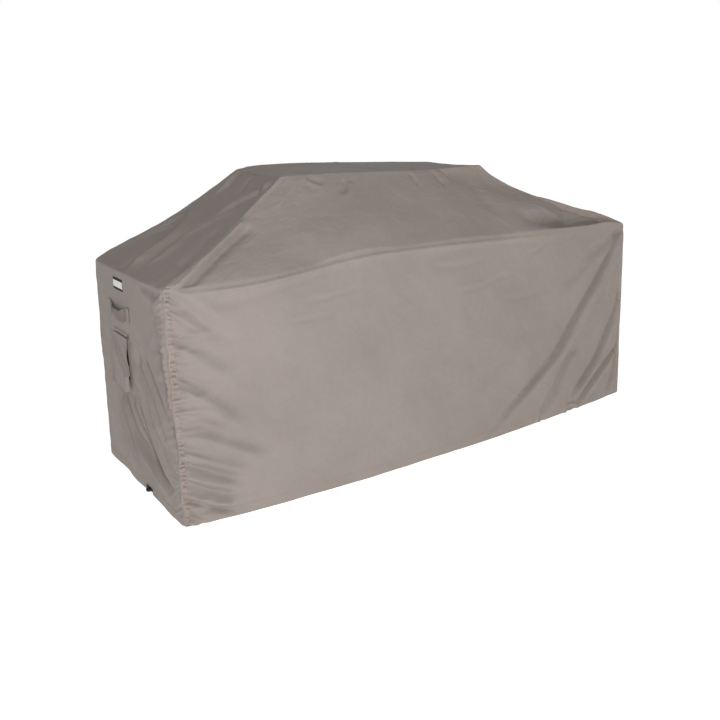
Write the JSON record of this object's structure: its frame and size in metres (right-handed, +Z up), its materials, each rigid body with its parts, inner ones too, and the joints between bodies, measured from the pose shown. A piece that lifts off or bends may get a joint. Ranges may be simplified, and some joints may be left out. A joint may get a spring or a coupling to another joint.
{
  "type": "grill cover",
  "caption": "Taupe cloth cover for a large outdoor grill: straight walls, hipped top, open below, drawcord hem with a sprung cord lock, end handles and hooded vents.",
  "frame": {"origin": "on the ground under the middle of the cover", "axes": "+X along the cover to the right end, +Y to the back, +Z up; the label, the cord lock and one vent are on the -X end"},
  "size_m": [2.0252, 0.7796, 0.9712],
  "materials": {
    "coated_cloth": "matte coated polyester weave, taupe",
    "casing_cloth": "matte polyester lining cloth, taupe",
    "seam_tape": "woven binding tape, taupe, satin-matte",
    "webbing": "ribbed polyester webbing, taupe",
    "vent_mesh": "black open polyester mesh",
    "drawcord": "braided black cord",
    "black_plastic": "moulded black acetal",
    "spring_steel": "drawn spring wire",
    "hook_tape": "black nylon hook tape",
    "loop_tape": "black nylon loop tape",
    "label_cloth": "white woven satin label, plain, with two dark woven edges"
  },
  "bodies": {
    "cover": {"back_hem_casing": "casing_cloth", "back_left_seam_binding": "seam_tape", "back_panel": "coated_cloth", "back_right_seam_binding": "seam_tape", "cord_lock_barrel": "black_plastic", "cord_lock_spring": "spring_steel", "drawcord": "drawcord", "front_hem_casing": "casing_cloth", "front_left_seam_binding": "seam_tape", "front_panel": "coated_cloth", "front_right_seam_binding": "seam_tape", "label": "label_cloth", "left_end_panel": "coated_cloth", "left_front_hem_casing": "casing_cloth", "left_handle": "webbing", "left_handle_front_patch": "coated_cloth", "left_handle_rear_patch": "coated_cloth", "left_rear_hem_casing": "casing_cloth", "left_vent_binding": "seam_tape", "left_vent_header": "seam_tape", "left_vent_loop_tab": "loop_tape", "left_vent_mesh": "vent_mesh", "lower_cord_end": "black_plastic", "right_end_panel": "coated_cloth", "right_handle": "webbing", "right_handle_front_patch": "coated_cloth", "right_handle_rear_patch": "coated_cloth", "right_hem_casing": "casing_cloth", "right_vent_binding": "seam_tape", "right_vent_header": "seam_tape", "right_vent_loop_tab": "loop_tape", "right_vent_mesh": "vent_mesh", "top_panel": "coated_cloth", "top_seam_binding": "seam_tape", "upper_cord_end": "black_plastic"},
    "left_flap": {"left_vent_flap": "coated_cloth", "left_vent_hook_tab": "hook_tape"},
    "right_flap": {"right_vent_flap": "coated_cloth", "right_vent_hook_tab": "hook_tape"},
    "lock_button": {"cord_lock_button": "black_plastic"}
  },
  "joints": [
    {"name": "left_flap_lift", "type": "hinge", "parent": "cover", "child": "left_flap", "pos_m": [-0.99655, 0.086, 0.49805], "axis": [0, 1, 0], "range_deg": [0, 75]},
    {"name": "right_flap_lift", "type": "hinge", "parent": "cover", "child": "right_flap", "pos_m": [0.99655, 0.086, 0.49805], "axis": [0, -1, 0], "range_deg": [0, 75]},
    {"name": "lock_button_press", "type": "slide", "parent": "cover", "child": "lock_button", "axis": [1, 0, 0], "range_m": [0, 0.003], "stiffness_N_per_m": 600, "springref_m": -0.004, "deforming": ["cord_lock_spring"]}
  ]
}
